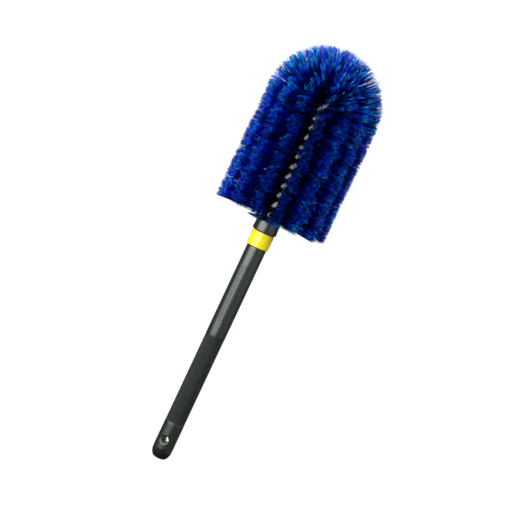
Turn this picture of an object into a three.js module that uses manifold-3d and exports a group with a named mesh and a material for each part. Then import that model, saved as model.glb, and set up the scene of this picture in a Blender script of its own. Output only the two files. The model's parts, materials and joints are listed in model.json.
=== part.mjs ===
// A long-reach wheel brush. A tubular handle with a soft sleeve carries a ferrule, and a spine of
// two plastic-coated wires, twisted together, stands out of it and holds a round head of filaments.
// Millimetres, +Z towards the tip of the head. The origin is the middle of the hang hole.

import * as THREE from 'three';
import { mergeVertices } from 'three/addons/utils/BufferGeometryUtils.js';
import Module from 'manifold-3d';

const wasm = await Module();
wasm.setup();

// Driving dimensions
const CLEARANCE = 0.3; // between neighbouring pieces
const HANDLE_R = 10.4;
const SLEEVE_BORE_R = 7.9;
const CORE_R = SLEEVE_BORE_R - CLEARANCE;
const CORE_BORE_R = 5.9;
const END_Z = -21; // lowest point of the handle
const END_FLAT_R = 3.8;
const END_ROUND_H = 11; // height of the rounded end
const CAP_SEAM_Z = -10.6; // where the end cap meets the sleeve
const CAP_SPIGOT_TOP_Z = 8;
const GRIP_Z = [19.1, 117.6]; // the textured stretch, slightly recessed
const GRIP_RECESS = 0.2;
const SLEEVE_TOP_Z = 219.4;
const RING_R = 11.8;
const RING_TOP_Z = 235.8;
const CORE_TOP_Z = 244;
const FERRULE_R = 13;
const FERRULE_TOP_R = 12.4;
const FERRULE_TOP_Z = 249;
const FERRULE_CHAMFER = 1;
const PLUG_Z = [200, 243];

const HOLE_FRONT_R = 4.4; // the hang hole tapers from its mouth at -Y ...
const HOLE_BACK_R = 3; // ... to its mouth at +Y
const HOLE_REACH = 11;

const HEAD_Z = 252.6; // lowest filaments
const HEAD_R = 60;
const SEGMENTS = 6; // lengths of the head, with a bend of the spine below each
const TWIST_PITCH = 21.6; // one turn of the wires, and the height of one segment
const HEAD_TOP_Z = HEAD_Z + SEGMENTS * TWIST_PITCH;
const ROWS = 15; // lengthwise rows of filaments
const ROW_PHASE_DEG = 17.5; // of the first row, from -Y towards +X
const ROW_DEPTH = 6;
const POINTS_PER_ROW = 4;

const COATING_R = 2;
const COATING_BORE_R = 1.45;
const WIRE_R = 1.15;
const HELIX_R = COATING_R + CLEARANCE / 2;
const SPINE_BORE_R = 4.7; // room for the twisted pair in the ferrule, the plug and the head
const BEND_GAP = 1; // between two lengths of wire, where the spine bends
const LOOP_RISE = 1; // from the last length of wire to the loop that joins its strands
const STEM_BOTTOM_Z = 203;
const STEPS_PER_TURN = 8;
const WIRE_SIDES = 6;
const ROUND_SEGMENTS = 32;
const PLUG_SEGMENTS = 16;
const HOLE_SEGMENTS = 24;
const HEAD_BORE_SIDES = 12;
const CAP_CURVE_STEPS = 5;
const SLEEVE_CURVE_STEPS = 3;
const DOME_STEPS = 5;

const MATERIALS = {
  sleeve: material(0x2b322f, 0.55, 0),
  cap: material(0x1d211f, 0.5, 0),
  core: material(0x6e6f60, 0.6, 0),
  ferrule: material(0x161918, 0.35, 0),
  ring: material(0xf5dc0a, 0.25, 0),
  plug: material(0x4a4d48, 0.6, 0),
  coating: material(0xa9afaa, 0.45, 0),
  wire: material(0x9a9c9e, 0.35, 1),
  filament: material(0x0a2bb0, 0.5, 0),
};

function material(color, roughness, metalness) {
  return new THREE.MeshStandardMaterial({ color, roughness, metalness });
}

// Welds a geometry, drops triangles with no area and turns its faces outwards.
function closedBody(geometry) {
  const bare = geometry.index ? geometry.toNonIndexed() : geometry.clone();
  bare.deleteAttribute('normal');
  bare.deleteAttribute('uv');
  const welded = mergeVertices(bare, 1e-4);
  const corners = [...welded.index.array];
  const position = welded.attributes.position;
  const triangles = [];
  let volume = 0;
  for (let i = 0; i < corners.length; i += 3) {
    const [a, b, c] = corners.slice(i, i + 3);
    if (a === b || b === c || c === a) continue;
    const [p, q, r] = [a, b, c].map((n) => new THREE.Vector3().fromBufferAttribute(position, n));
    volume += p.dot(q.cross(r));
    triangles.push([a, b, c]);
  }
  const outward = triangles.map(([a, b, c]) => (volume < 0 ? [a, c, b] : [a, b, c]));
  welded.setIndex(outward.flat());
  return welded;
}

// A body of revolution about Z. The profile is [radius, z] points, and a ring's profile closes.
function revolve(profile, segments = ROUND_SEGMENTS, hollow = false) {
  const outline = hollow ? [...profile, profile[0]] : profile;
  const points = outline.map(([r, z]) => new THREE.Vector2(r, z));
  return closedBody(new THREE.LatheGeometry(points, segments).rotateX(Math.PI / 2));
}

function toSolid(geometry) {
  const vertProperties = new Float32Array(geometry.attributes.position.array);
  const triVerts = new Uint32Array(geometry.index.array);
  return new wasm.Manifold(new wasm.Mesh({ numProp: 3, vertProperties, triVerts }));
}

function cut(geometry, tool) {
  const mesh = toSolid(geometry).subtract(toSolid(tool)).getMesh();
  const result = new THREE.BufferGeometry();
  result.setAttribute('position', new THREE.BufferAttribute(mesh.vertProperties, 3));
  result.setIndex(new THREE.BufferAttribute(mesh.triVerts, 1));
  return result;
}

const model = new THREE.Group();

function addMesh(name, geometry, meshMaterial) {
  const mesh = new THREE.Mesh(geometry, meshMaterial);
  mesh.name = name;
  model.add(mesh);
}

// Handle

// Radius of the handle's rounded end at height z.
function endRadius(z) {
  const down = 1 - Math.min(1, (z - END_Z) / END_ROUND_H);
  return END_FLAT_R + (HANDLE_R - END_FLAT_R) * Math.sqrt(1 - down * down);
}

function endCurve(from, to, steps) {
  const points = [];
  for (let i = 0; i <= steps; i++) {
    const z = from + ((to - from) * i) / steps;
    points.push([endRadius(z), z]);
  }
  return points;
}

function hangHole() {
  const cone = new THREE.CylinderGeometry(HOLE_BACK_R, HOLE_FRONT_R, 2 * HOLE_REACH, HOLE_SEGMENTS);
  return closedBody(cone);
}

function endCap() {
  const seam = CAP_SEAM_Z - CLEARANCE / 2;
  const spigotR = CORE_BORE_R - CLEARANCE;
  const profile = [
    [0, END_Z],
    ...endCurve(END_Z, seam, CAP_CURVE_STEPS),
    [spigotR, seam],
    [spigotR, CAP_SPIGOT_TOP_Z],
    [0, CAP_SPIGOT_TOP_Z],
  ];
  return cut(revolve(profile), hangHole());
}

function handleCore() {
  const bottom = CAP_SEAM_Z + CLEARANCE / 2;
  const profile = [
    [CORE_BORE_R, bottom],
    [CORE_R, bottom],
    [CORE_R, CORE_TOP_Z],
    [CORE_BORE_R, CORE_TOP_Z],
  ];
  return cut(revolve(profile, ROUND_SEGMENTS, true), hangHole());
}

function gripSleeve() {
  const bottom = CAP_SEAM_Z + CLEARANCE / 2;
  const top = SLEEVE_TOP_Z - CLEARANCE / 2;
  const recessR = HANDLE_R - GRIP_RECESS;
  const profile = [
    [SLEEVE_BORE_R, bottom],
    ...endCurve(bottom, END_Z + END_ROUND_H, SLEEVE_CURVE_STEPS),
    [HANDLE_R, GRIP_Z[0]],
    [recessR, GRIP_Z[0] + GRIP_RECESS],
    [recessR, GRIP_Z[1] - GRIP_RECESS],
    [HANDLE_R, GRIP_Z[1]],
    [HANDLE_R, top],
    [SLEEVE_BORE_R, top],
  ];
  return cut(revolve(profile, ROUND_SEGMENTS, true), hangHole());
}

function bandRing() {
  const bottom = SLEEVE_TOP_Z + CLEARANCE / 2;
  const top = RING_TOP_Z - CLEARANCE / 2;
  const edge = CLEARANCE;
  const profile = [
    [SLEEVE_BORE_R, bottom],
    [RING_R - edge, bottom],
    [RING_R, bottom + edge],
    [RING_R, top - edge],
    [RING_R - edge, top],
    [SLEEVE_BORE_R, top],
  ];
  return revolve(profile, ROUND_SEGMENTS, true);
}

function ferrule() {
  const bottom = RING_TOP_Z + CLEARANCE / 2;
  const shoulder = CORE_TOP_Z + CLEARANCE;
  const profile = [
    [SLEEVE_BORE_R, bottom],
    [FERRULE_R, bottom],
    [FERRULE_TOP_R, FERRULE_TOP_Z - FERRULE_CHAMFER],
    [FERRULE_TOP_R - FERRULE_CHAMFER, FERRULE_TOP_Z],
    [SPINE_BORE_R, FERRULE_TOP_Z],
    [SPINE_BORE_R, shoulder],
    [SLEEVE_BORE_R, shoulder],
  ];
  return revolve(profile, ROUND_SEGMENTS, true);
}

function stemPlug() {
  const outer = CORE_BORE_R - CLEARANCE;
  const profile = [
    [SPINE_BORE_R, PLUG_Z[0]],
    [outer, PLUG_Z[0]],
    [outer, PLUG_Z[1]],
    [SPINE_BORE_R, PLUG_Z[1]],
  ];
  return revolve(profile, PLUG_SEGMENTS, true);
}

// Spine

class StrandCurve extends THREE.Curve {
  constructor(startZ, endZ, phase) {
    super();
    this.startZ = startZ;
    this.endZ = endZ;
    this.phase = phase;
  }

  getPoint(t, target = new THREE.Vector3()) {
    const z = THREE.MathUtils.lerp(this.startZ, this.endZ, t);
    const angle = this.phase + (2 * Math.PI * (z - HEAD_Z)) / TWIST_PITCH;
    return target.set(HELIX_R * Math.cos(angle), HELIX_R * Math.sin(angle), z);
  }
}

class LoopCurve extends THREE.Curve {
  constructor(bottomZ) {
    super();
    this.bottomZ = bottomZ;
  }

  getPoint(t, target = new THREE.Vector3()) {
    const angle = Math.PI * t;
    return target.set(HELIX_R * Math.cos(angle), 0, this.bottomZ + HELIX_R * Math.sin(angle));
  }
}

// A circle of straight sides, as a shape or as a path for a hole.
function roundPath(radius, sides, Kind) {
  const points = new THREE.EllipseCurve(0, 0, radius, radius).getPoints(sides);
  return new Kind(points.slice(0, sides));
}

function sweep(curve, steps, outerR, boreR = 0) {
  const section = roundPath(outerR, WIRE_SIDES, THREE.Shape);
  if (boreR > 0) section.holes.push(roundPath(boreR, WIRE_SIDES, THREE.Path));
  const options = { steps, extrudePath: curve, bevelEnabled: false };
  return closedBody(new THREE.ExtrudeGeometry(section, options));
}

function addStrands(label, startZ, endZ) {
  const steps = Math.round((STEPS_PER_TURN * (endZ - startZ)) / TWIST_PITCH);
  ['a', 'b'].forEach((strand, i) => {
    const curve = new StrandCurve(startZ, endZ, i * Math.PI);
    const coating = sweep(curve, steps, COATING_R, COATING_BORE_R);
    addMesh(`wire_${strand}_coating_${label}`, coating, MATERIALS.coating);
    addMesh(`wire_${strand}_steel_${label}`, sweep(curve, steps, WIRE_R), MATERIALS.wire);
  });
}

function addTipLoop(bottomZ) {
  const curve = new LoopCurve(bottomZ);
  const coating = sweep(curve, STEPS_PER_TURN, COATING_R, COATING_BORE_R);
  addMesh('tip_loop_coating', coating, MATERIALS.coating);
  addMesh('tip_loop_steel', sweep(curve, STEPS_PER_TURN, WIRE_R), MATERIALS.wire);
}

// Filament head

// Share of the full radius at an angle about Z: 1 on a row, less in the valley between two rows.
function rowShare(angle) {
  const first = THREE.MathUtils.degToRad(ROW_PHASE_DEG - 90);
  const valley = (1 - Math.cos(ROWS * (angle - first))) / 2;
  return 1 - (valley * ROW_DEPTH) / HEAD_R;
}

function filamentRing(startZ, endZ) {
  const count = ROWS * POINTS_PER_ROW;
  const outline = [];
  for (let i = 0; i < count; i++) {
    const angle = THREE.MathUtils.degToRad(ROW_PHASE_DEG - 90) + (2 * Math.PI * i) / count;
    const radius = HEAD_R * rowShare(angle);
    outline.push(new THREE.Vector2(radius * Math.cos(angle), radius * Math.sin(angle)));
  }
  const shape = new THREE.Shape(outline);
  shape.holes.push(roundPath(SPINE_BORE_R, HEAD_BORE_SIDES, THREE.Path));
  const ring = new THREE.ExtrudeGeometry(shape, { depth: endZ - startZ, bevelEnabled: false });
  return closedBody(ring.translate(0, 0, startZ));
}

// The round end: a half ball whose rows fade out towards the tip, with a pocket for the wires' loop.
function filamentDome(bottomZ) {
  const pocketTop = bottomZ + LOOP_RISE + HELIX_R + COATING_R + 2 * CLEARANCE;
  const profile = [
    [0, pocketTop],
    [SPINE_BORE_R, pocketTop],
    [SPINE_BORE_R, bottomZ],
  ];
  for (let i = 0; i <= DOME_STEPS; i++) {
    const rise = (Math.PI / 2) * (i / DOME_STEPS);
    profile.push([HEAD_R * Math.cos(rise), bottomZ + HEAD_R * Math.sin(rise)]);
  }
  const dome = revolve(profile, ROWS * POINTS_PER_ROW);
  const position = dome.attributes.position;
  for (let i = 0; i < position.count; i++) {
    const x = position.getX(i);
    const y = position.getY(i);
    const outwards = Math.hypot(x, y) / HEAD_R;
    const share = 1 - (1 - rowShare(Math.atan2(y, x))) * outwards;
    if (outwards * HEAD_R > SPINE_BORE_R + CLEARANCE) position.setXY(i, x * share, y * share);
  }
  return dome;
}

addMesh('end_cap', endCap(), MATERIALS.cap);
addMesh('handle_core', handleCore(), MATERIALS.core);
addMesh('grip_sleeve', gripSleeve(), MATERIALS.sleeve);
addMesh('band_ring', bandRing(), MATERIALS.ring);
addMesh('ferrule', ferrule(), MATERIALS.ferrule);
addMesh('stem_plug', stemPlug(), MATERIALS.plug);
addStrands('stem', STEM_BOTTOM_Z, HEAD_Z - BEND_GAP / 2);

for (let n = 0; n < SEGMENTS; n++) {
  const startZ = HEAD_Z + n * TWIST_PITCH;
  const endZ = startZ + TWIST_PITCH;
  addStrands(`${n + 1}`, startZ + BEND_GAP / 2, endZ - BEND_GAP / 2);
  const ring = filamentRing(startZ + CLEARANCE / 2, endZ - CLEARANCE / 2);
  addMesh(`filaments_${n + 1}`, ring, MATERIALS.filament);
}
addTipLoop(HEAD_TOP_Z + LOOP_RISE);
addMesh('filaments_tip', filamentDome(HEAD_TOP_Z + CLEARANCE / 2), MATERIALS.filament);

export default model;
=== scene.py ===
"""A long-reach wheel brush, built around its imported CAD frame. Metres, +Z towards the tip."""

import json
import math

import bmesh
import bpy
import numpy as np
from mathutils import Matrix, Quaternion, Vector


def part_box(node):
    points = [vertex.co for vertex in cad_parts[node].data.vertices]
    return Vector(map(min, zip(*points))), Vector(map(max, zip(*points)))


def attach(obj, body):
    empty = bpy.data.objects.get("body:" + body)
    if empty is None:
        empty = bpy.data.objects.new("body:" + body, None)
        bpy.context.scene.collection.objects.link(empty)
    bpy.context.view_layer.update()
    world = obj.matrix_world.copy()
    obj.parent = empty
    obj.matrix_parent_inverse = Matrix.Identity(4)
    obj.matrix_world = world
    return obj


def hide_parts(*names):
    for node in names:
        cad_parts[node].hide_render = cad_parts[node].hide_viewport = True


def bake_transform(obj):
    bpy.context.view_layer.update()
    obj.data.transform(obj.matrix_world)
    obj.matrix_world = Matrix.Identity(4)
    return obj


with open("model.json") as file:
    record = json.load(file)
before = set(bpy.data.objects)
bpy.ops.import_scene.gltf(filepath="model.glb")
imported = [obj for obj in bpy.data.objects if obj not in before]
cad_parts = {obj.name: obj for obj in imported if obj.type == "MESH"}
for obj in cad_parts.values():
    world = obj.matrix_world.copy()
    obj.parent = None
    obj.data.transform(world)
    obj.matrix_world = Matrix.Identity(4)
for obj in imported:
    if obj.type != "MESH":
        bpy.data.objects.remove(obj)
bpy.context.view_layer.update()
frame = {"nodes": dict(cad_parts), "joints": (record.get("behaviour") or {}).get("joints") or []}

MM = 0.001

# Places that the frame gives
HINGES = sorted(joint["pos_m"][2] for joint in frame["joints"])
PITCH = HINGES[1] - HINGES[0]  # one turn of the twisted wires
HEAD_Z = HINGES[0]  # lowest filaments
HEAD_TOP = HINGES[-1] + PITCH  # where the round end starts
MIDS = [z + PITCH / 2 for z in HINGES]
BODIES = ["handle"] + [f"head_{n + 1}" for n in range(len(HINGES))]
CAP_LOW, CAP_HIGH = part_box("end_cap")
SLEEVE_LOW, SLEEVE_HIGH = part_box("grip_sleeve")
RING_LOW, RING_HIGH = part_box("band_ring")
FERRULE_LOW, FERRULE_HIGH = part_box("ferrule")
CORE_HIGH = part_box("handle_core")[1]
STEM_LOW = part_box("wire_a_coating_stem")[0]

HANDLE_R = SLEEVE_HIGH.x
RING_R = RING_HIGH.x
FERRULE_R = FERRULE_HIGH.x
CORE_R = CORE_HIGH.x
HEAD_R = 60 * MM
CLEARANCE = 0.3 * MM
SLEEVE_BORE_R = CORE_R + CLEARANCE

# The camera stands where the photograph's did
CAMERA_AZIMUTH = 12.4
CAMERA_ELEVATION = 5
CAMERA_ROLL = 25.1
CAMERA_LENS_MM = 200
SENSOR_MM = 36
VIEW_WIDTH = 0.5235
VIEW_CENTRE_DOWN = 42 * MM  # from the lowest filaments to the middle of the view
VIEW_CENTRE_RIGHT = 3.0 * MM

# Softboxes, all aimed at the lowest filaments. Each has its azimuth from the camera's and its
# elevation, in degrees, then its distance, its width and height, and its power in watts.
SOFTBOXES = {
    "key": (-37, 4, 0.95, (1.3, 1.3), 26),
    "fill": (58, 8, 1.3, (1.6, 1.4), 4.8),
    "rim_left": (-130, 48, 1.2, (1.2, 0.8), 33),
    "rim_right": (125, 45, 1.2, (1.2, 0.8), 36),
}
GLOW_SEEN = 1.05  # strength of the white surroundings to the camera ...
GLOW_ON_OBJECT = 0.12  # ... and as light on the object
FLOOR_R = 12
FLOOR_GAP = 1 * MM


# Camera, light and floor


def direction(azimuth, elevation):
    """Unit vector from the object towards a camera or light. Azimuth 0 is -Y, and 90 is +X."""
    a, e = math.radians(azimuth), math.radians(elevation)
    return Vector((math.sin(a) * math.cos(e), -math.cos(a) * math.cos(e), math.sin(e)))


def add_camera():
    data = bpy.data.cameras.new("camera")
    data.lens = CAMERA_LENS_MM
    data.sensor_width = SENSOR_MM
    data.clip_start, data.clip_end = 0.05, 50
    back = direction(CAMERA_AZIMUTH, CAMERA_ELEVATION)
    right = direction(CAMERA_AZIMUTH + 90, 0)
    target = Vector((0, 0, HEAD_Z - VIEW_CENTRE_DOWN)) + right * VIEW_CENTRE_RIGHT
    camera = bpy.data.objects.new("camera", data)
    camera.location = target + back * (VIEW_WIDTH * CAMERA_LENS_MM / SENSOR_MM)
    camera.rotation_mode = "QUATERNION"
    level = (-back).to_track_quat("-Z", "Y")
    camera.rotation_quaternion = level @ Quaternion((0, 0, 1), math.radians(CAMERA_ROLL))
    bpy.context.scene.collection.objects.link(camera)
    bpy.context.scene.camera = camera


def add_softbox(name, azimuth, elevation, distance, size, power):
    data = bpy.data.lights.new(name, "AREA")
    data.shape = "RECTANGLE"
    data.size, data.size_y = size
    data.energy = power
    light = bpy.data.objects.new(name, data)
    away = direction(azimuth, elevation)
    light.location = Vector((0, 0, HEAD_Z)) + away * distance
    light.rotation_mode = "QUATERNION"
    light.rotation_quaternion = away.to_track_quat("Z", "Y")
    light.visible_camera = False
    bpy.context.scene.collection.objects.link(light)


def even_glow(tree, shader_kind, output_kind):
    """Even white light, with one strength to the camera and another on the object."""
    nodes, links = tree.nodes, tree.links
    nodes.clear()
    shader = nodes.new(shader_kind)
    shader.inputs["Color"].default_value = (1, 1, 1, 1)
    path = nodes.new("ShaderNodeLightPath")
    strength = nodes.new("ShaderNodeMapRange")
    strength.inputs["To Min"].default_value = GLOW_ON_OBJECT
    strength.inputs["To Max"].default_value = GLOW_SEEN
    links.new(path.outputs["Is Camera Ray"], strength.inputs["Value"])
    links.new(strength.outputs["Result"], shader.inputs["Strength"])
    out = nodes.new(output_kind)
    links.new(shader.outputs[0], out.inputs["Surface"])


def add_world():
    world = bpy.data.worlds.new("studio")
    world.use_nodes = True
    even_glow(world.node_tree, "ShaderNodeBackground", "ShaderNodeOutputWorld")
    bpy.context.scene.world = world


def add_floor():
    bm = bmesh.new()
    bmesh.ops.create_circle(bm, cap_ends=True, segments=96, radius=FLOOR_R)
    mesh = bpy.data.meshes.new("floor")
    bm.to_mesh(mesh)
    bm.free()
    material = bpy.data.materials.new("floor_white")
    material.use_nodes = True
    even_glow(material.node_tree, "ShaderNodeEmission", "ShaderNodeOutputMaterial")
    floor = link_mesh("floor", mesh, material)
    floor.location.z = CAP_LOW.z - FLOOR_GAP


# Mesh helpers


def link_mesh(name, mesh, *materials):
    piece = bpy.data.objects.new(name, mesh)
    bpy.context.scene.collection.objects.link(piece)
    for material in materials:
        mesh.materials.append(material)
    return piece


def smooth(mesh, sharp_above=35):
    mesh.polygons.foreach_set("use_smooth", [True] * len(mesh.polygons))
    mesh.set_sharp_from_angle(angle=math.radians(sharp_above))
    mesh.update()


def rounded(points, radius, steps):
    """The closed outline with each corner turned into a curve that starts radius before it."""
    result = []
    count = len(points)
    for i, corner in enumerate(points):
        corner = Vector(corner)
        before = Vector(points[i - 1]) - corner
        after = Vector(points[(i + 1) % count]) - corner
        reach = min(radius, before.length * 0.45, after.length * 0.45)
        start = corner + before.normalized() * reach
        end = corner + after.normalized() * reach
        for step in range(steps + 1):
            t = step / steps
            result.append(start * (1 - t) ** 2 + corner * (2 * t * (1 - t)) + end * t**2)
    return [(p.x, p.y) for p in result]


def closed_mesh(name, places, faces):
    """A mesh with its doubled points merged and its faces turned outwards."""
    mesh = bpy.data.meshes.new(name)
    mesh.from_pydata(np.asarray(places).tolist(), [], faces)
    bm = bmesh.new()
    bm.from_mesh(mesh)
    bmesh.ops.remove_doubles(bm, verts=bm.verts, dist=1e-7)
    bmesh.ops.recalc_face_normals(bm, faces=bm.faces)
    bm.to_mesh(mesh)
    bm.free()
    return mesh


def quad_grid(rings, columns, closed=False):
    """Faces between rings of points. If closed, the last ring joins the first."""
    faces = []
    for i in range(rings if closed else rings - 1):
        here, above = i * columns, (i + 1) % rings * columns
        for j in range(columns):
            after = (j + 1) % columns
            faces.append((here + j, here + after, above + after, above + j))
    return faces


def turned(outline, columns):
    """Places of the outline's (radius, z) points turned about Z, ring after ring."""
    angles = np.arange(columns) * 2 * np.pi / columns
    radius, z = np.array(outline).T[:, :, None]
    rings = np.stack([radius * np.cos(angles), radius * np.sin(angles), z + 0 * angles], axis=-1)
    return rings.reshape(-1, 3)


def turned_ring(name, outline, columns=128):
    """A ring about Z from a closed outline."""
    faces = quad_grid(len(outline), columns, closed=True)
    return closed_mesh(name, turned(outline, columns), faces)


def turned_solid(name, outline, columns=96):
    """A solid about Z from an outline that starts and ends on the axis."""
    poles = [(0, 0, outline[0][1]), (0, 0, outline[-1][1])]
    places = np.concatenate([turned(outline[1:-1], columns), poles])
    low, high = len(places) - 2, len(places) - 1
    last = low - columns
    faces = quad_grid(len(outline) - 2, columns)
    for j in range(columns):
        after = (j + 1) % columns
        faces.append((low, after, j))
        faces.append((high, last + j, last + after))
    return closed_mesh(name, places, faces)


def cut_hang_hole(piece):
    """Cuts the tapered hang hole, which runs along Y through the origin."""
    bm = bmesh.new()
    bmesh.ops.create_cone(
        bm,
        cap_ends=True,
        segments=64,
        radius1=HOLE_FRONT_R,
        radius2=HOLE_BACK_R,
        depth=2 * HOLE_REACH,
    )
    bmesh.ops.rotate(bm, verts=bm.verts, matrix=Quaternion((1, 0, 0), -math.pi / 2).to_matrix())
    mesh = bpy.data.meshes.new("hole_tool")
    bm.to_mesh(mesh)
    bm.free()
    tool = bpy.data.objects.new("hole_tool", mesh)
    bpy.context.scene.collection.objects.link(tool)
    cut = piece.modifiers.new("hang_hole", "BOOLEAN")
    cut.operation, cut.solver, cut.object = "DIFFERENCE", "EXACT", tool
    apply_modifiers(piece)
    bpy.data.objects.remove(tool)


def apply_modifiers(piece):
    graph = bpy.context.evaluated_depsgraph_get()
    made = bpy.data.meshes.new_from_object(piece.evaluated_get(graph))
    piece.modifiers.clear()
    piece.data = made


# Materials


class Shader:
    """A Principled material whose nodes read the piece's own coordinates, in metres."""

    def __init__(self, name, roughness=0.5, metallic=0.0, specular=0.5):
        self.material = bpy.data.materials.new(name)
        self.material.use_nodes = True
        self.nodes = self.material.node_tree.nodes
        self.links = self.material.node_tree.links
        self.principled = self.nodes["Principled BSDF"]
        self.principled.inputs["Roughness"].default_value = roughness
        self.principled.inputs["Metallic"].default_value = metallic
        self.principled.inputs["Specular IOR Level"].default_value = specular
        self.place = self.nodes.new("ShaderNodeTexCoord").outputs["Object"]

    def noise(self, scale, detail, stretch=None):
        """Noise with features about 1 / scale metres wide, stretched along the axes if asked."""
        place = self.place
        if stretch:
            mapping = self.nodes.new("ShaderNodeMapping")
            mapping.inputs["Scale"].default_value = stretch
            self.links.new(place, mapping.inputs["Vector"])
            place = mapping.outputs["Vector"]
        node = self.nodes.new("ShaderNodeTexNoise")
        node.inputs["Scale"].default_value = scale
        node.inputs["Detail"].default_value = detail
        self.links.new(place, node.inputs["Vector"])
        return node.outputs["Fac"]

    def colour(self, noise, dark, pale):
        """Base colour that goes from dark to pale over the middle of the noise's range."""
        node = self.nodes.new("ShaderNodeValToRGB")
        low, high = node.color_ramp.elements
        low.position, high.position = 0.3, 0.7
        low.color, high.color = (*dark, 1), (*pale, 1)
        self.links.new(noise, node.inputs["Fac"])
        self.links.new(node.outputs["Color"], self.principled.inputs["Base Color"])

    def roughness(self, noise, low, high):
        node = self.nodes.new("ShaderNodeMapRange")
        node.inputs["To Min"].default_value = low
        node.inputs["To Max"].default_value = high
        self.links.new(noise, node.inputs["Value"])
        self.links.new(node.outputs["Result"], self.principled.inputs["Roughness"])

    def bump(self, noise, depth):
        """Relief of the given depth, in metres."""
        node = self.nodes.new("ShaderNodeBump")
        node.inputs["Distance"].default_value = depth
        self.links.new(noise, node.inputs["Height"])
        self.links.new(node.outputs["Normal"], self.principled.inputs["Normal"])


def sleeve_material(name, specular, roughness):
    shader = Shader(name, specular=specular)
    shader.principled.inputs["Specular Tint"].default_value = (0.9, 1, 0.92, 1)
    shader.colour(shader.noise(90, detail=4), (0.004, 0.0062, 0.0045), (0.007, 0.0098, 0.0075))
    shader.roughness(shader.noise(400, detail=2), roughness, roughness + 0.08)
    shader.bump(shader.noise(4200, detail=3), 0.012 * MM)
    return shader.material


def cap_material():
    shader = Shader("cap_plastic", specular=0.25)
    shader.colour(shader.noise(120, detail=3), (0.006, 0.007, 0.007), (0.011, 0.013, 0.012))
    shader.roughness(shader.noise(500, detail=2), 0.35, 0.5)
    shader.bump(shader.noise(3000, detail=2), 0.015 * MM)
    return shader.material


def core_material():
    shader = Shader("core_plastic")
    shader.colour(shader.noise(300, detail=4), (0.20, 0.20, 0.14), (0.30, 0.30, 0.22))
    shader.roughness(shader.noise(900, detail=2), 0.4, 0.6)
    return shader.material


def ferrule_material():
    shader = Shader("ferrule_plastic", specular=1.0)
    shader.colour(shader.noise(150, detail=3), (0.005, 0.006, 0.0055), (0.009, 0.011, 0.010))
    shader.roughness(shader.noise(700, detail=3), 0.27, 0.37)
    shader.bump(shader.noise(4000, detail=2), 0.01 * MM)
    return shader.material


def band_material():
    shader = Shader("ring_plastic")
    shader.colour(shader.noise(70, detail=3), (0.90, 0.68, 0.0), (0.97, 0.79, 0.0))
    shader.roughness(shader.noise(500, detail=3), 0.14, 0.24)
    shader.bump(shader.noise(1800, detail=2), 0.006 * MM)
    shader.principled.inputs["Coat Weight"].default_value = 0.3
    shader.principled.inputs["Coat Roughness"].default_value = 0.08
    return shader.material


def coating_material():
    shader = Shader("wire_coating")
    shader.colour(shader.noise(500, detail=4), (0.50, 0.54, 0.48), (0.72, 0.75, 0.68))
    shader.roughness(shader.noise(1200, detail=2), 0.3, 0.45)
    shader.bump(shader.noise(2500, detail=3), 0.03 * MM)
    return shader.material


def steel_material():
    shader = Shader("wire_steel", metallic=1.0)
    drawn = shader.noise(1500, detail=2, stretch=(1, 1, 0.1))
    shader.colour(drawn, (0.32, 0.33, 0.34), (0.5, 0.51, 0.52))
    shader.roughness(drawn, 0.25, 0.4)
    return shader.material


def plug_material():
    shader = Shader("plug_plastic")
    shader.colour(shader.noise(200, detail=3), (0.055, 0.062, 0.055), (0.085, 0.09, 0.08))
    shader.roughness(shader.noise(900, detail=2), 0.5, 0.65)
    return shader.material


# Filaments come in one of three shades, which vary from clump to clump. Each shade is one even
# colour for each band along a filament, from where they are packed at the spine to their tips: the
# darker bands towards the roots are painted shade for the depth of the pile, and the paler, greener last
# band is a painted glow of light through the thin tips.
FILAMENT_SHADES = {
    "navy": [(0, 0.0002, 0.008), (0, 0.0004, 0.02), (0, 0.0007, 0.04), (0, 0.001, 0.07), (0, 0.012, 0.13)],
    "royal": [(0, 0.0005, 0.018), (0, 0.001, 0.07), (0, 0.002, 0.20), (0, 0.004, 0.42), (0, 0.045, 0.56)],
    "azure": [(0, 0.001, 0.02), (0, 0.003, 0.08), (0, 0.010, 0.22), (0, 0.060, 0.40), (0, 0.260, 0.52)],
}
# One blue for the cut ends of every shade. The ends carry none of the glow painted on the tips' sides, so
# tips seen end-on look a deeper blue than tips seen side-on: a painted difference in light.
CUT_END = (0, 0.012, 0.45)
BANDS = 5  # in each shade


def filament_materials():
    """One plain material for each band of each shade, and one for the cut ends."""
    made = []
    for shade, bands in FILAMENT_SHADES.items():
        for number, colour in enumerate(bands):
            made.append(filament_material(f"filament_{shade}_{number}", colour))
    made.append(filament_material("filament_end", CUT_END))
    return made


def filament_material(name, colour):
    shader = Shader(name, roughness=0.42, specular=0.3)
    shader.principled.inputs["Base Color"].default_value = (*colour, 1)
    shader.principled.inputs["Specular Tint"].default_value = (0.15, 0.48, 1, 1)
    return shader.material


# Handle


GRIP_LOW, GRIP_HIGH = 19.1 * MM, 117.6 * MM
KNURL_STARTS = 44
KNURL_SAMPLES = 4  # for each groove, around the handle and along it
KNURL_LEAD = 2.2 * MM
KNURL_DEPTH = 0.26 * MM
GRIP_RECESS = 0.1 * MM
STUD_LOW, STUD_HIGH, STUDS = 134.6 * MM, 199.2 * MM, 24
STUD_R = 1.0 * MM
STUD_HEIGHT = 0.35 * MM
STUD_SINK = 0.1 * MM
STUD_ROW = 1.7 * MM  # from the middle line to each of the two rows
HOLE_FRONT_R, HOLE_BACK_R = 4.4 * MM, 3.0 * MM
HOLE_REACH = 11 * MM
LIP = 0.8 * MM  # width of the hang hole's rounded lips ...
LIP_DROP = 0.3 * MM  # ... and how far they fall away
LIP_INSIDE = 0.2  # how far the lip's curve runs on inside the hole, as a share of LIP
LIP_ROWS_TOP = 7 * MM  # the sleeve's rows are close together below this, for the lips
SLEEVE_EDGE = 0.35 * MM  # rounding of the sleeve's two ends
END_FLAT_R = 3.8 * MM
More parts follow.
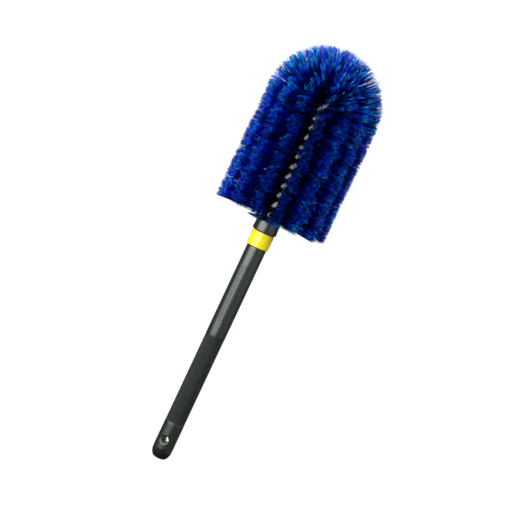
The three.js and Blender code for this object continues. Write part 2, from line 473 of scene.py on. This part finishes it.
END_ROUND_H = 11 * MM
CORE_WALL = 1.7 * MM
CAP_EDGE = 0.3 * MM
SPIGOT_CHAMFER = 0.4 * MM
BAND_EDGE = 0.6 * MM
FERRULE_FOOT = 1.6 * MM  # the ferrule's foot is narrower than its wall by this ...
FERRULE_FOOT_H = 0.7 * MM  # ... and this high
FERRULE_TAPER = 0.5 * MM
FERRULE_CHAMFER = 1.4 * MM
FERRULE_EDGE = 0.35 * MM
SPINE_BORE_R = 4.7 * MM


def end_radius(z):
    """Radius of the handle's rounded end at height z."""
    down = 1 - np.clip((z - CAP_LOW.z) / END_ROUND_H, 0, 1)
    return END_FLAT_R + (HANDLE_R - END_FLAT_R) * np.sqrt(1 - down**2)


def fade(value, low, high, width):
    """1 between low and high, falling to 0 within width outside them."""
    return np.clip((value - low) / width + 1, 0, 1) * np.clip((high - value) / width + 1, 0, 1)


def knurl(angle, z):
    """Two crossing sets of V grooves, as a height at or below 0."""
    turns = angle / (2 * np.pi) * KNURL_STARTS
    groove = [1 - 2 * np.abs(x - np.round(x)) for x in (turns + z / KNURL_LEAD, turns - z / KNURL_LEAD)]
    zone = fade(z, GRIP_LOW + 1 * MM, GRIP_HIGH - 1 * MM, 1 * MM)
    return -(KNURL_DEPTH * np.maximum(*groove) + GRIP_RECESS) * zone


def lip(angle, z):
    """The rounded lips of the hang hole, as a height at or below 0."""
    front = np.sin(angle) < 0
    hole_r = np.where(front, HOLE_FRONT_R, HOLE_BACK_R)
    inwards = (hole_r + LIP - np.hypot(HANDLE_R * np.cos(angle), z)) / LIP
    return -LIP_DROP * np.clip(inwards, 0, 1 + LIP_INSIDE) ** 2


def sleeve_rows():
    """Heights of the sleeve's rows of points: close at the hang hole, and on the knurl's diamonds."""
    knurl_step = KNURL_LEAD / KNURL_SAMPLES
    first, last = math.ceil(GRIP_LOW / knurl_step), math.floor(GRIP_HIGH / knurl_step)
    grip = np.arange(first, last + 1) * knurl_step
    below = np.linspace(SLEEVE_LOW.z, LIP_ROWS_TOP, 46)
    between = np.linspace(LIP_ROWS_TOP, grip[0], 9)[1:-1]
    above = np.linspace(grip[-1], SLEEVE_HIGH.z - 0.6 * MM, 52)[1:]
    return np.concatenate([below, between, grip, above, [SLEEVE_HIGH.z]])


def ring_faces(places, rings, columns):
    """Triangles between rings of points, split along the lower diagonal so that grooves stay sharp."""
    out = np.hypot(places[:, 0], places[:, 1])
    i, j = np.meshgrid(np.arange(rings), np.arange(columns), indexing="ij")
    a = (i * columns + j).ravel()
    b = (i * columns + (j + 1) % columns).ravel()
    c = ((i + 1) % rings * columns + (j + 1) % columns).ravel()
    d = ((i + 1) % rings * columns + j).ravel()
    along_ac = (out[a] + out[c] <= out[b] + out[d])[:, None]
    first = np.where(along_ac, np.stack([a, b, c], 1), np.stack([a, b, d], 1))
    second = np.where(along_ac, np.stack([a, c, d], 1), np.stack([b, c, d], 1))
    return np.concatenate([first, second]).tolist()


def stud(across, z):
    """Corners and faces of one raised stud, sunk a little into the sleeve."""
    sides, levels = 16, 6
    corners, faces = [(0, 0)], []
    for level in range(1, levels + 1):
        for side in range(sides):
            turn = 2 * math.pi * side / sides
            slope = math.pi / 2 * level / levels
            corners.append((math.sin(slope) * math.cos(turn), math.sin(slope) * math.sin(turn)))
    places = []
    for x, up in corners:
        rise = math.sqrt(max(0, 1 - x * x - up * up))
        out = HANDLE_R - STUD_SINK + (STUD_HEIGHT + STUD_SINK) * rise
        turn = (across + STUD_R * x) / HANDLE_R
        places.append((out * math.sin(turn), -out * math.cos(turn), z + STUD_R * up))
    for side in range(sides):
        after = (side + 1) % sides
        faces.append((0, 1 + side, 1 + after))
        for level in range(levels - 1):
            low, high = 1 + level * sides, 1 + (level + 1) * sides
            faces.append((low + side, high + side, high + after, low + after))
    faces.append(tuple(range(1 + (levels - 1) * sides, 1 + levels * sides))[::-1])
    return places, faces


def add_studs(piece, material):
    """Two staggered rows of plain raised studs that face -Y."""
    step = (STUD_HIGH - STUD_LOW) / (STUDS + 0.5)
    places, faces = [], []
    for row in (-1, 1):
        for n in range(STUDS):
            z = STUD_LOW + (n + 0.5 + (row + 1) / 4) * step
            made, shape = stud(row * STUD_ROW, z)
            faces += [tuple(corner + len(places) for corner in face) for face in shape]
            places += made
    join(piece, link_mesh("studs", closed_mesh("studs", places, faces), material))


def join(piece, other):
    with bpy.context.temp_override(active_object=piece, selected_editable_objects=[piece, other]):
        bpy.ops.object.join()


def line_hole(mesh, slot):
    """Gives the wall of the hang hole its own material."""
    for face in mesh.polygons:
        across = math.hypot(face.center.x, face.center.z)
        towards_axis = face.normal.x * face.center.x + face.normal.z * face.center.z
        if across < HOLE_FRONT_R and towards_axis < -0.8 * across:
            face.material_index = slot


def sleeve_mesh():
    columns = KNURL_STARTS * KNURL_SAMPLES
    angle = np.arange(columns) * 2 * np.pi / columns
    grid_z, grid_angle = np.meshgrid(sleeve_rows(), angle, indexing="ij")
    radius = end_radius(grid_z) + knurl(grid_angle, grid_z) + lip(grid_angle, grid_z)
    radius[0] -= SLEEVE_EDGE
    radius[-1] -= SLEEVE_EDGE
    bore = np.full((1, columns), SLEEVE_BORE_R)
    radius = np.concatenate([bore, radius, bore])
    height = np.concatenate([grid_z[:1], grid_z, grid_z[-1:]])
    places = np.stack([radius * np.cos(angle), radius * np.sin(angle), height], axis=-1).reshape(-1, 3)
    return closed_mesh("sleeve", places, ring_faces(places, len(radius), columns))


def grip_sleeve(smooth_rubber, grip_rubber, wall):
    mesh = sleeve_mesh()
    piece = link_mesh("sleeve", mesh, smooth_rubber, grip_rubber, wall)
    for face in mesh.polygons:
        face.material_index = int(GRIP_LOW < face.center.z < GRIP_HIGH)
    cut_hang_hole(piece)
    line_hole(piece.data, 2)
    add_studs(piece, smooth_rubber)
    smooth(piece.data)
    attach(piece, "handle")
    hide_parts("grip_sleeve")


def end_cap(material, wall):
    spigot_r = (CORE_R - CORE_WALL) - CLEARANCE
    seam, top = SLEEVE_LOW.z - CLEARANCE, CAP_HIGH.z
    curve = [(float(end_radius(z)), z) for z in np.linspace(CAP_LOW.z, seam - CAP_EDGE, 16)]
    outline = [
        (0, CAP_LOW.z),
        *curve,
        (curve[-1][0] - 0.25 * MM, seam),
        (spigot_r, seam),
        (spigot_r, top - SPIGOT_CHAMFER),
        (spigot_r - SPIGOT_CHAMFER, top),
        (0, top),
    ]
    piece = link_mesh("cap", turned_solid("cap", outline), material, wall)
    cut_hang_hole(piece)
    line_hole(piece.data, 1)
    smooth(piece.data)
    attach(piece, "handle")
    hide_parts("end_cap")


def band_ring(material):
    corners = [
        (SLEEVE_BORE_R, RING_LOW.z),
        (RING_R, RING_LOW.z),
        (RING_R, RING_HIGH.z),
        (SLEEVE_BORE_R, RING_HIGH.z),
    ]
    piece = link_mesh("band", turned_ring("band", rounded(corners, BAND_EDGE, 5)), material)
    smooth(piece.data)
    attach(piece, "handle")
    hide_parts("band_ring")


def ferrule(material):
    low, high = FERRULE_LOW.z, FERRULE_HIGH.z
    shoulder = CORE_HIGH.z + CLEARANCE
    foot_r, top_r = FERRULE_R - FERRULE_FOOT, FERRULE_R - FERRULE_TAPER
    corners = [
        (SLEEVE_BORE_R, low),
        (foot_r, low),
        (foot_r, low + FERRULE_FOOT_H),
        (FERRULE_R, low + FERRULE_FOOT_H),
        (top_r, high - FERRULE_CHAMFER),
        (top_r - FERRULE_CHAMFER, high),
        (SPINE_BORE_R, high),
        (SPINE_BORE_R, shoulder),
        (SLEEVE_BORE_R, shoulder),
    ]
    piece = link_mesh("collar", turned_ring("collar", rounded(corners, FERRULE_EDGE, 3)), material)
    smooth(piece.data)
    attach(piece, "handle")
    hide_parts("ferrule")


# Spine


HELIX_R = 2.15 * MM
STEM_STRAND_R = 2.0 * MM
STRAND_R = 2.45 * MM  # thicker above the ferrule, where the coating isn't squeezed
TWIST_PHASE = math.radians(24)
STRAND_STEP = 0.6 * MM
STRAND_SIDES = 14
STRAND_WAVER = 0.015  # how unevenly the coating was dipped, as a share of its radius
LOOP_RISE = 0.6 * MM  # from the top of the last length to the loop at the tip
LOOP_PASSES = 6  # of smoothing, where the strands run into the loop


def strand_angle(z):
    return TWIST_PHASE + 2 * np.pi * (z - HEAD_Z) / PITCH


def strand_path(start, end, side):
    z = np.linspace(start, end, max(2, round(abs(end - start) / STRAND_STEP)) + 1)
    angle = strand_angle(z) + side * np.pi
    return np.stack([HELIX_R * np.cos(angle), HELIX_R * np.sin(angle), z], axis=-1)


def tube(name, path, radius, rng):
    """A closed round tube along the path. Its radius wavers a little, as a dipped coating's does."""
    tangent = np.gradient(path, axis=0)
    tangent /= np.linalg.norm(tangent, axis=1)[:, None]
    outward = np.array([path[0][0], path[0][1], 0.0])
    turns = np.arange(STRAND_SIDES) * 2 * np.pi / STRAND_SIDES
    places = []
    for place, along in zip(path, tangent, strict=True):
        outward = outward - along * (outward @ along)
        outward /= np.linalg.norm(outward)
        across = np.cross(along, outward)
        r = radius * (1 + STRAND_WAVER * rng.standard_normal())
        places.append(place + r * (np.cos(turns)[:, None] * outward + np.sin(turns)[:, None] * across))
    last = (len(path) - 1) * STRAND_SIDES
    faces = quad_grid(len(path), STRAND_SIDES)
    faces += [tuple(range(STRAND_SIDES))[::-1], tuple(range(last, last + STRAND_SIDES))]
    mesh = closed_mesh(name, np.concatenate(places), faces)
    smooth(mesh, 50)
    return mesh


def coating(name, path, radius, material, rng):
    piece = link_mesh(name, tube(name, path, radius, rng), material)
    return piece


def spine_pieces(material, rng):
    starts = [FERRULE_HIGH.z, *MIDS]
    for side, letter in enumerate("ab"):
        path = strand_path(STEM_LOW.z, FERRULE_HIGH.z, side)
        stem = coating(f"coating_{letter}_stem", path, STEM_STRAND_R, material, rng)
        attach(stem, "handle")
        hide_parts(f"wire_{letter}_coating_stem")
        for n in range(len(HINGES)):
            path = strand_path(starts[n], starts[n + 1], side)
            piece = coating(f"coating_{letter}_{n + 1}", path, STRAND_R, material, rng)
            bend(piece)
            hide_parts(f"wire_{letter}_coating_{n + 1}")
    tip_loop(material, rng)


def bend(piece):
    """Bakes the piece's placement into its mesh. It bends nothing, and joins the piece to no body."""
    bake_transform(piece)


def tip_loop(material, rng):
    """Both strands from the middle of the last length to the tip, and the loop that joins them."""
    top = HEAD_TOP + LOOP_RISE
    up = strand_path(MIDS[-1], top, 0)
    down = strand_path(MIDS[-1], top, 1)[::-1]
    heading = strand_angle(top)
    turn = np.linspace(0, np.pi, 12)[1:-1]
    out = HELIX_R * np.cos(turn)
    rise = top + HELIX_R * np.sin(turn)
    over = np.stack([out * math.cos(heading), out * math.sin(heading), rise], axis=1)
    path = np.concatenate([up, over, down])
    for _ in range(LOOP_PASSES):
        path[1:-1] = path[1:-1] * 0.5 + (path[:-2] + path[2:]) * 0.25
    piece = coating("coating_tip", path, STRAND_R * 0.97, material, rng)
    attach(piece, BODIES[-1])
    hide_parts("tip_loop_coating")


# Filaments


ROWS = 15
ROW_STEP = 2 * np.pi / ROWS
FIRST_ROW = math.radians(17.5 - 90)  # 17.5 degrees from -Y towards +X
CLUMP = 3  # filaments that cling together
CLUMPS_PER_LENGTH = 1600  # of the head, for each turn of the twist
DOME_CLUMPS = 1900
DOME_TUFTS = 240
# The azure shade is partly a tone that varies from clump to clump and partly painted glow of light through
# the outermost filaments: it is commoner at the round end and along the bottom edge, and its clumps reach
# past the others, so that the edges are pale.
AZURE = 2  # number of the palest shade
AZURE_SHARE, AZURE_SHARE_TOP, AZURE_SHARE_BOTTOM = 0.05, 0.2, 0.5  # of the clumps
TOP_ROOTS_Z, BOTTOM_ROOTS_Z = HEAD_TOP - 9 * MM, HEAD_Z + 2 * MM  # where those shares set in
NAVY_SHARE = 0.53  # where none is azure, which takes as much from navy as from royal
STRAY = 1.3 * MM  # how far the palest clumps stand out past the others
TIP_R = HEAD_R - 0.5 * MM  # of the straight part's tips, on average
LONGEST_R = HEAD_R + 1.4 * MM
ROOT_R = 2.5 * MM
ROOT_SWING = math.radians(7)  # of a root, from the middle of the gap between the wires
ROOT_ZONE = (HEAD_Z - 2.2 * MM, HEAD_TOP - 1.5 * MM)
TIP_ZONE = (HEAD_Z - 1.2 * MM, HEAD_TOP - 2.5 * MM)
ROW_SPREAD = 0.35  # how far a row's tips stay spread, as a share of their roots' spread
TUFT_SWING, TUFT_LIFT, TUFT_LENGTH = math.radians(0.8), 1 * MM, 0.35 * MM  # tuft by tuft
TIP_SWING, TIP_LIFT, TIP_LENGTH = math.radians(2.6), 3.5 * MM, 0.6 * MM  # clump by clump
BOW_SWING, BOW_LIFT, DOME_BOW = math.radians(1.2), 0.9 * MM, 0.8 * MM  # of a clump's middle
DOME_Z = HEAD_TOP - 2.5 * MM
DOME_R = HEAD_R - 0.9 * MM
DOME_TUFT_LENGTH, DOME_TIP_LENGTH = 0.5 * MM, 0.8 * MM  # tuft by tuft and clump by clump
DOME_TIP_SWING = math.radians(5)
DOME_LOWEST = 0.015  # height of the lowest tufts, as a share of the dome's
DOME_ROWS_FROM, DOME_ROWS_OVER = 0.7, 0.5  # radians from the very tip where the rows set in
DOME_ROW_PULL = 0.85  # how far the tufts of the rows move onto them
DOME_TUFT_WIDTH, DOME_ROW_WIDTH = 5.2, 3.2  # spread about Z in degrees, free and in the rows
DOME_ROOTS_Z = (HEAD_TOP + 5 * MM, HEAD_TOP - 6 * MM)  # of the very tip and of the dome's edge
DOME_ROOTS_TOP = HEAD_TOP + 4 * MM
FRAY_ROOT, FRAY_TIP = 0.35 * MM, 0.75 * MM  # of a filament from its clump, and added at the tip
FRAY_LENGTH = 0.012  # of a filament's length, as a share
FILAMENT_RADII = np.array([0.26, 0.26, 0.25, 0.23, 0.21, 0.17]) * MM  # at the bands' ends
BAND_ENDS = np.array([0, 0.15, 0.4, 0.7, 0.96, 1.0])  # as shares of a filament's length
DOME_BAND_ENDS = np.array([0, 0.15, 0.38, 0.65, 0.89, 1.0])


def cylinder_clumps(rng):
    """Middle lines of the clumps that make the straight part of the head, as (count, points, 3)."""
    count = CLUMPS_PER_LENGTH * len(HINGES)
    root_z = rng.uniform(*ROOT_ZONE, count)
    side = rng.integers(0, 2, count)
    root_angle = strand_angle(root_z) + np.pi / 2 + side * np.pi
    root_angle = root_angle + rng.normal(0, ROOT_SWING, count)
    row = np.round((root_angle - FIRST_ROW) / ROW_STEP)
    row_angle = FIRST_ROW + row * ROW_STEP
    half_turn = np.maximum(np.floor((root_z - HEAD_Z) / (PITCH / 2)).astype(int), 0)
    tuft = (row.astype(int) % ROWS) + ROWS * half_turn
    tufts = ROWS * (half_turn.max() + 1)
    tuft_swing = rng.normal(0, TUFT_SWING, tufts)[tuft]
    tuft_lift = rng.normal(0, TUFT_LIFT, tufts)[tuft]
    tuft_length = rng.normal(0, TUFT_LENGTH, tufts)[tuft]
    tip_angle = row_angle + ROW_SPREAD * (root_angle - row_angle) + tuft_swing
    tip_angle = tip_angle + rng.normal(0, TIP_SWING, count)
    tip_z = root_z + tuft_lift + rng.normal(0, TIP_LIFT, count)
    tip_z = np.clip(tip_z, *TIP_ZONE)
    tip_r = TIP_R + tuft_length + rng.normal(0, TIP_LENGTH, count)
    share = BAND_ENDS[None, :]
    turn = 1 - (1 - share) ** 2
    bow = 4 * share * (1 - share)
    angle = root_angle[:, None] + (tip_angle - root_angle)[:, None] * turn
    angle = angle + rng.normal(0, BOW_SWING, count)[:, None] * bow
    radius = ROOT_R + (tip_r - ROOT_R)[:, None] * share
    z = root_z[:, None] + (tip_z - root_z)[:, None] * share
    z = z + rng.normal(0, BOW_LIFT, count)[:, None] * bow
    return np.stack([radius * np.cos(angle), radius * np.sin(angle), z], axis=-1)


def dome_tufts(rng):
    """Each tuft's angle about Z, its angle from the very tip, and how wide it spreads about Z."""
    number = np.arange(DOME_TUFTS)
    # Even steps of height give an even cover
    rise = (number + 0.5) / DOME_TUFTS * (1 - DOME_LOWEST) + DOME_LOWEST
    polar = np.arccos(rise)
    around = number * np.pi * (3 - math.sqrt(5))  # by the golden angle
    to_row = np.round((around - FIRST_ROW) / ROW_STEP) * ROW_STEP + FIRST_ROW - around
    in_rows = np.clip((polar - DOME_ROWS_FROM) / DOME_ROWS_OVER, 0, 1)
    around = around + DOME_ROW_PULL * in_rows * to_row
    polar = polar + rng.normal(0, 0.03, DOME_TUFTS)
    width = np.radians(DOME_TUFT_WIDTH + (DOME_ROW_WIDTH - DOME_TUFT_WIDTH) * in_rows)
    return around, polar, width / np.maximum(np.sin(polar), 0.15)


def dome_tips(rng):
    """Places of the clumps' tips, with their angles about Z and from the very tip."""
    around, polar, wide = dome_tufts(rng)
    tuft = rng.integers(0, DOME_TUFTS, DOME_CLUMPS)
    polar = np.abs(polar[tuft] + rng.normal(0, DOME_TIP_SWING, DOME_CLUMPS))
    polar = np.minimum(polar, math.radians(89))
    around = around[tuft] + rng.normal(0, 1, DOME_CLUMPS) * wide[tuft]
    tip_r = DOME_R + rng.normal(0, DOME_TUFT_LENGTH, DOME_TUFTS)[tuft]
    tip_r = tip_r + rng.normal(0, DOME_TIP_LENGTH, DOME_CLUMPS)
    out = tip_r * np.sin(polar)
    places = [out * np.cos(around), out * np.sin(around), DOME_Z + tip_r * np.cos(polar)]
    return np.stack(places, axis=-1), around, polar


def dome_roots(tip_around, tip_polar, rng):
    """Places of the clumps' roots. Each is where a gap between the wires faces its tip."""
    highest, lowest = DOME_ROOTS_Z
    z = highest + (lowest - highest) * tip_polar / (np.pi / 2)
    to_gap = (tip_around - strand_angle(z)) % np.pi - np.pi / 2
    z = np.minimum(z + to_gap / (2 * np.pi) * PITCH, DOME_ROOTS_TOP)
    around = tip_around + rng.normal(0, ROOT_SWING, DOME_CLUMPS)
    return np.stack([ROOT_R * np.cos(around), ROOT_R * np.sin(around), z], axis=-1)


def dome_clumps(rng):
    """Middle lines of the clumps that fan out over the round end."""
    tip, tip_around, tip_polar = dome_tips(rng)
    root = dome_roots(tip_around, tip_polar, rng)
    share = DOME_BAND_ENDS[None, :, None]
    bow = 4 * share * (1 - share) * rng.normal(0, DOME_BOW, (DOME_CLUMPS, 1, 3))
    return root[:, None] * (1 - share) + tip[:, None] * share + bow


def clump_shades(clumps, rng):
    """Number of each clump's shade. The palest is commonest on the round end and at the bottom, partly as
    painted glow of light through the filaments at those edges.
    """
    root_z = clumps[:, 0, 2]
    ends = [root_z > TOP_ROOTS_Z, root_z < BOTTOM_ROOTS_Z]
    azure = np.select(ends, [AZURE_SHARE_TOP, AZURE_SHARE_BOTTOM], AZURE_SHARE)
    pick = rng.uniform(0, 1, len(clumps))
    return np.where(pick < azure, AZURE, (pick > NAVY_SHARE + azure / 2).astype(int))


def lengthen(clumps, extra):
    """The clumps, each stretched from its root by its own extra length."""
    reach = clumps[:, -1] - clumps[:, 0]
    share = 1 + extra / np.linalg.norm(reach, axis=1)
    return clumps[:, :1] + (clumps - clumps[:, :1]) * share[:, None, None]


def fray(clumps, rng):
    """Each clump's filaments, which part a little towards their tips."""
    paths = np.repeat(clumps, CLUMP, axis=0)
    share = np.linspace(0, 1, paths.shape[1])[None, :, None]
    shape = (len(paths), 1, 3)
    paths += rng.normal(0, FRAY_ROOT, shape) + rng.normal(0, FRAY_TIP, shape) * share**1.5
    reach = paths[:, -1] - paths[:, 0]
    paths += (reach * rng.normal(0, FRAY_LENGTH, (len(paths), 1)))[:, None] * share
    return paths


def within_head(paths):
    """The paths with any point that is too far out moved back to the longest filaments' reach."""
    middle = np.zeros_like(paths)
    middle[..., 2] = paths[..., 2].clip(0, DOME_Z)
    out = paths - middle
    far = np.linalg.norm(out, axis=-1, keepdims=True)
    return middle + out * np.minimum(1, LONGEST_R / far)


def filament_places(paths, rolls):
    """Corners of the filaments' three-sided rings, as (count, points, 3 corners, 3)."""
    tangent = np.gradient(paths, axis=1)
    tangent /= np.linalg.norm(tangent, axis=2, keepdims=True)
    upright = np.abs(tangent[:, 0, 2:]) >= 0.8
    reference = np.where(upright, [[1.0, 0.0, 0.0]], [[0.0, 0.0, 1.0]])
    outward = np.cross(tangent, reference[:, None])
    outward /= np.linalg.norm(outward, axis=2, keepdims=True)
    across = np.cross(tangent, outward)
    turns = rolls[:, None] + np.arange(3) * 2 * np.pi / 3
    ring = (
        np.cos(turns)[:, None, :, None] * outward[:, :, None]
        + np.sin(turns)[:, None, :, None] * across[:, :, None]
    )
    return paths[:, :, None] + ring * FILAMENT_RADII[None, :, None, None]


def filament_faces(count, points):
    """Corner numbers of the filaments' sides, of their root ends and of their tip ends."""
    first = np.arange(count)[:, None, None] * points * 3
    low = first + np.arange(points - 1)[None, :, None] * 3
    corner = np.arange(3)[None, None, :]
    after = (corner + 1) % 3
    sides = np.stack([low + corner, low + after, low + 3 + after, low + 3 + corner], axis=-1)
    base = first.reshape(-1, 1)
    return sides, base + np.array([[2, 1, 0]]), base + (points - 1) * 3 + np.array([[0, 1, 2]])


def filament_mesh(name, paths, shades, rolls):
    """Tapering filaments, closed at both ends, with a material for each band."""
    count, points = paths.shape[:2]
    places = filament_places(paths, rolls)
    sides, roots, tips = filament_faces(count, points)
    # Each band of a filament takes its own colour: painted shade towards the root, painted glow at the
    # tip.
    band = np.arange(points - 1)[None, :, None]
    side_slots = np.broadcast_to(shades[:, None, None] * BANDS + band, sides.shape[:3])
    cut_end = np.full(count, BANDS * len(FILAMENT_SHADES))
    slots = np.concatenate([side_slots.ravel(), shades * BANDS, cut_end])
    corners = np.concatenate([sides.ravel(), roots.ravel(), tips.ravel()])
    sizes = np.concatenate([np.full(side_slots.size, 4), np.full(2 * count, 3)])
    mesh = bpy.data.meshes.new(name)
    mesh.vertices.add(places.size // 3)
    mesh.vertices.foreach_set("co", places.ravel())
    mesh.loops.add(len(corners))
    mesh.loops.foreach_set("vertex_index", corners.astype(np.int32))
    mesh.polygons.add(len(sizes))
    mesh.polygons.foreach_set("loop_start", (np.cumsum(sizes) - sizes).astype(np.int32))
    mesh.polygons.foreach_set("material_index", slots.astype(np.int32))
    mesh.polygons.foreach_set("use_smooth", np.ones(len(sizes), bool))
    mesh.update(calc_edges=True)
    mesh.validate()
    return mesh


def pile(name, clumps, materials, rng):
    """One piece of the head, with its clumps frayed into filaments."""
    shades = clump_shades(clumps, rng)
    # The azure clumps reach past the others, so that the painted glow of their pale tips shows at the
    # edges.
    clumps = lengthen(clumps, np.where(shades == AZURE, STRAY, 0))
    paths = within_head(fray(clumps, rng))
    rolls = rng.uniform(0, 2 * np.pi, len(paths))
    mesh = filament_mesh(name, paths, np.repeat(shades, CLUMP), rolls)
    piece = link_mesh(name, mesh, *materials)
    return piece


def filament_pieces(rng):
    materials = filament_materials()
    straight = cylinder_clumps(rng)
    part = np.searchsorted(MIDS, straight[:, 0, 2])
    for n in range(len(HINGES)):
        piece = pile(f"pile_{n + 1}", straight[part == n], materials, rng)
        bend(piece)
        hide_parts(f"filaments_{n + 1}")
    for name, clumps in (("pile_tip", straight[part == len(HINGES)]), ("pile_dome", dome_clumps(rng))):
        piece = pile(name, clumps, materials, rng)
        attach(piece, BODIES[-1])
        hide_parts("filaments_tip")


def give(material, *nodes):
    for node in nodes:
        mesh = frame["nodes"][node].data
        mesh.materials.clear()
        mesh.materials.append(material)


def main():
    add_camera()
    add_world()
    add_floor()
    for name, (turn, elevation, distance, size, power) in SOFTBOXES.items():
        add_softbox(name, CAMERA_AZIMUTH + turn, elevation, distance, size, power)
    bpy.context.scene.view_settings.view_transform = "Standard"

    core = core_material()
    smooth_rubber = sleeve_material("sleeve_smooth", specular=1.0, roughness=0.31)
    grip_rubber = sleeve_material("sleeve_grip", specular=0.45, roughness=0.6)
    grip_sleeve(smooth_rubber, grip_rubber, core)
    end_cap(cap_material(), core)
    band_ring(band_material())
    ferrule(ferrule_material())
    spine_pieces(coating_material(), np.random.default_rng(11))
    filament_pieces(np.random.default_rng(7))

    give(core, "handle_core")
    give(plug_material(), "stem_plug")
    give(steel_material(), *[node for node in frame["nodes"] if "_steel" in node])


main()
